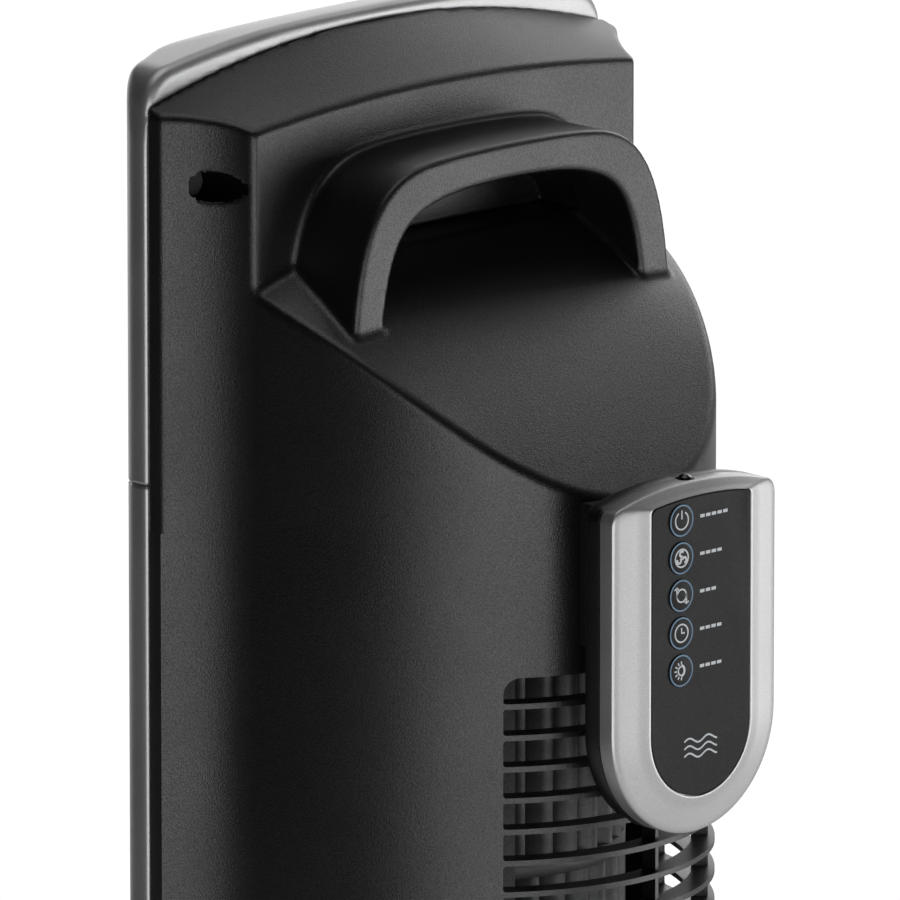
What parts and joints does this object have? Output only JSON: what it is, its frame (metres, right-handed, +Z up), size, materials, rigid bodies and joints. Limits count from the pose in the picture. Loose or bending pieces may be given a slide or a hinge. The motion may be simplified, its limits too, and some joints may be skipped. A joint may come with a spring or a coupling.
{
  "type": "tower fan",
  "caption": "Free-standing oscillating tower fan with a round base, a silver front, a rear carry handle and a remote control docked behind it.",
  "frame": {"origin": "middle of the base's underside, on the swing axis", "axes": "+Z up along the tower; the air leaves toward -Y; the handle, the intake grille and the remote are at +Y"},
  "size_m": [0.3, 0.3, 1.0838],
  "materials": {
    "black_plastic": "fine-grained matt moulding",
    "silver_paint": "satin silver paint with a fine sparkle",
    "gloss_black": "smooth gloss",
    "label_film": "smooth satin film with plain printed icons",
    "key_grey": "satin",
    "inner_grey": "as moulded",
    "fan_grey": "as moulded",
    "white_nylon": "as moulded",
    "rubber": "matt",
    "steel": "zinc plated or turned",
    "circuit_board": "satin solder mask",
    "dark_lens": "smoked, polished"
  },
  "bodies": {
    "base": {"base_cover": "black_plastic", "base_floor": "black_plastic", "ballast_plate": "steel", "glide_ring": "white_nylon", "cord_bush": "rubber", "swing_gear": "white_nylon", "base_foot_1": "rubber", "base_foot_2": "rubber", "base_foot_3": "rubber", "base_foot_4": "rubber"},
    "tower": {"rear_housing": "black_plastic", "carry_handle": "black_plastic", "rear_grille": "black_plastic", "control_head_bezel": "silver_paint", "front_frame": "silver_paint", "front_grille": "black_plastic", "control_panel": "gloss_black", "display_lens": "dark_lens", "control_board": "circuit_board", "volute_wall": "inner_grey", "air_tongue": "inner_grey", "upper_deck": "inner_grey", "motor_deck": "inner_grey", "upper_bearing": "rubber", "motor_stator": "steel", "motor_cover": "inner_grey", "run_capacitor": "white_nylon", "swing_motor": "steel", "turntable": "black_plastic", "bottom_plate": "black_plastic", "pivot_retainer": "steel", "remote_dock": "black_plastic", "housing_screw_left": "steel", "housing_screw_right": "steel"},
    "pinion": {"swing_pinion": "white_nylon"},
    "fan_wheel": {"impeller": "fan_grey", "motor_shaft": "steel"},
    "panel_key_1": {"control_button_1": "key_grey"},
    "panel_key_2": {"control_button_2": "key_grey"},
    "panel_key_3": {"control_button_3": "key_grey"},
    "panel_key_4": {"control_button_4": "key_grey"},
    "panel_key_5": {"control_button_5": "key_grey"},
    "remote": {"remote_front_shell": "silver_paint", "remote_rear_shell": "black_plastic", "remote_label": "label_film", "remote_board": "circuit_board", "coin_cell": "steel", "infrared_lens": "dark_lens"},
    "cell_cover": {"cell_cover": "black_plastic"},
    "remote_key_1": {"remote_button_1": "label_film"},
    "remote_key_2": {"remote_button_2": "label_film"},
    "remote_key_3": {"remote_button_3": "label_film"},
    "remote_key_4": {"remote_button_4": "label_film"},
    "remote_key_5": {"remote_button_5": "label_film"}
  },
  "joints": [
    {"name": "swing", "type": "hinge", "parent": "base", "child": "tower", "pos_m": [0, 0, 0.04], "axis": [0, 0, 1], "range_deg": [-45, 45]},
    {"name": "pinion_turn", "type": "hinge", "parent": "tower", "child": "pinion", "pos_m": [-0.03816, -0.02385, 0.04], "axis": [0, 0, 1], "range_deg": [-180, 180]},
    {"name": "fan_spin", "type": "hinge", "parent": "tower", "child": "fan_wheel", "pos_m": [0, -0.0061, 0.5], "axis": [0, 0, 1], "continuous": true},
    {"name": "panel_press_1", "type": "slide", "parent": "tower", "child": "panel_key_1", "axis": [0, 1, 0], "range_m": [0, 0.001], "stiffness_N_per_m": 500},
    {"name": "panel_press_2", "type": "slide", "parent": "tower", "child": "panel_key_2", "axis": [0, 1, 0], "range_m": [0, 0.001], "stiffness_N_per_m": 500},
    {"name": "panel_press_3", "type": "slide", "parent": "tower", "child": "panel_key_3", "axis": [0, 1, 0], "range_m": [0, 0.001], "stiffness_N_per_m": 500},
    {"name": "panel_press_4", "type": "slide", "parent": "tower", "child": "panel_key_4", "axis": [0, 1, 0], "range_m": [0, 0.001], "stiffness_N_per_m": 500},
    {"name": "panel_press_5", "type": "slide", "parent": "tower", "child": "panel_key_5", "axis": [0, 1, 0], "range_m": [0, 0.001], "stiffness_N_per_m": 500},
    {"name": "remote_lift", "type": "slide", "parent": "tower", "child": "remote", "axis": [0, 0, 1], "range_m": [0, 0.12]},
    {"name": "cell_cover_turn", "type": "hinge", "parent": "remote", "child": "cell_cover", "pos_m": [0, 0.0694, 0.9104], "axis": [0, -1, 0], "range_deg": [0, 45]},
    {"name": "remote_press_1", "type": "slide", "parent": "remote", "child": "remote_key_1", "axis": [0, -1, 0], "range_m": [0, 0.0004], "stiffness_N_per_m": 500},
    {"name": "remote_press_2", "type": "slide", "parent": "remote", "child": "remote_key_2", "axis": [0, -1, 0], "range_m": [0, 0.0004], "stiffness_N_per_m": 500},
    {"name": "remote_press_3", "type": "slide", "parent": "remote", "child": "remote_key_3", "axis": [0, -1, 0], "range_m": [0, 0.0004], "stiffness_N_per_m": 500},
    {"name": "remote_press_4", "type": "slide", "parent": "remote", "child": "remote_key_4", "axis": [0, -1, 0], "range_m": [0, 0.0004], "stiffness_N_per_m": 500},
    {"name": "remote_press_5", "type": "slide", "parent": "remote", "child": "remote_key_5", "axis": [0, -1, 0], "range_m": [0, 0.0004], "stiffness_N_per_m": 500}
  ],
  "couplings": [
    {"joint": "pinion_turn", "follows": "swing", "ratio": 4}
  ]
}
